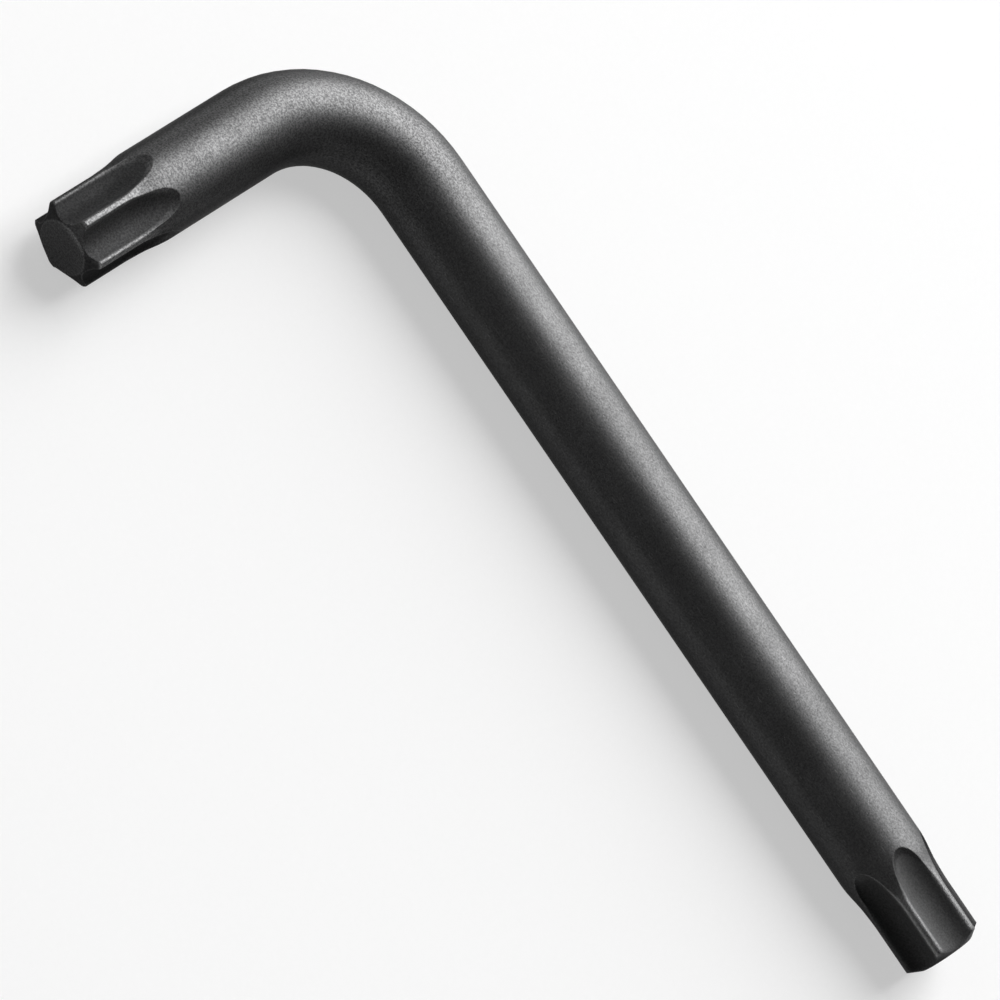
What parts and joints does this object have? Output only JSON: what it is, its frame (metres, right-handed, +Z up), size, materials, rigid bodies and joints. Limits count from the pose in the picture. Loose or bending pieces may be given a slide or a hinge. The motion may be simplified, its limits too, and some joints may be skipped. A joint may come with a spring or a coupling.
{
  "type": "star key",
  "caption": "L-shaped round bar with a six-lobe star drive formed on both ends, for turning star-socket screws from either arm.",
  "frame": {"origin": "centre of the key's length and width, on the surface that it lies flat on", "axes": "+X along the long arm towards its tip, -Y along the short arm towards its tip, +Z up, square to both arms"},
  "size_m": [0.1064, 0.0422, 0.0092],
  "materials": {
    "black_steel": "matt black oxide on hardened steel, fine grain"
  },
  "bodies": {
    "root": {"star_key": "black_steel"}
  },
  "joints": []
}
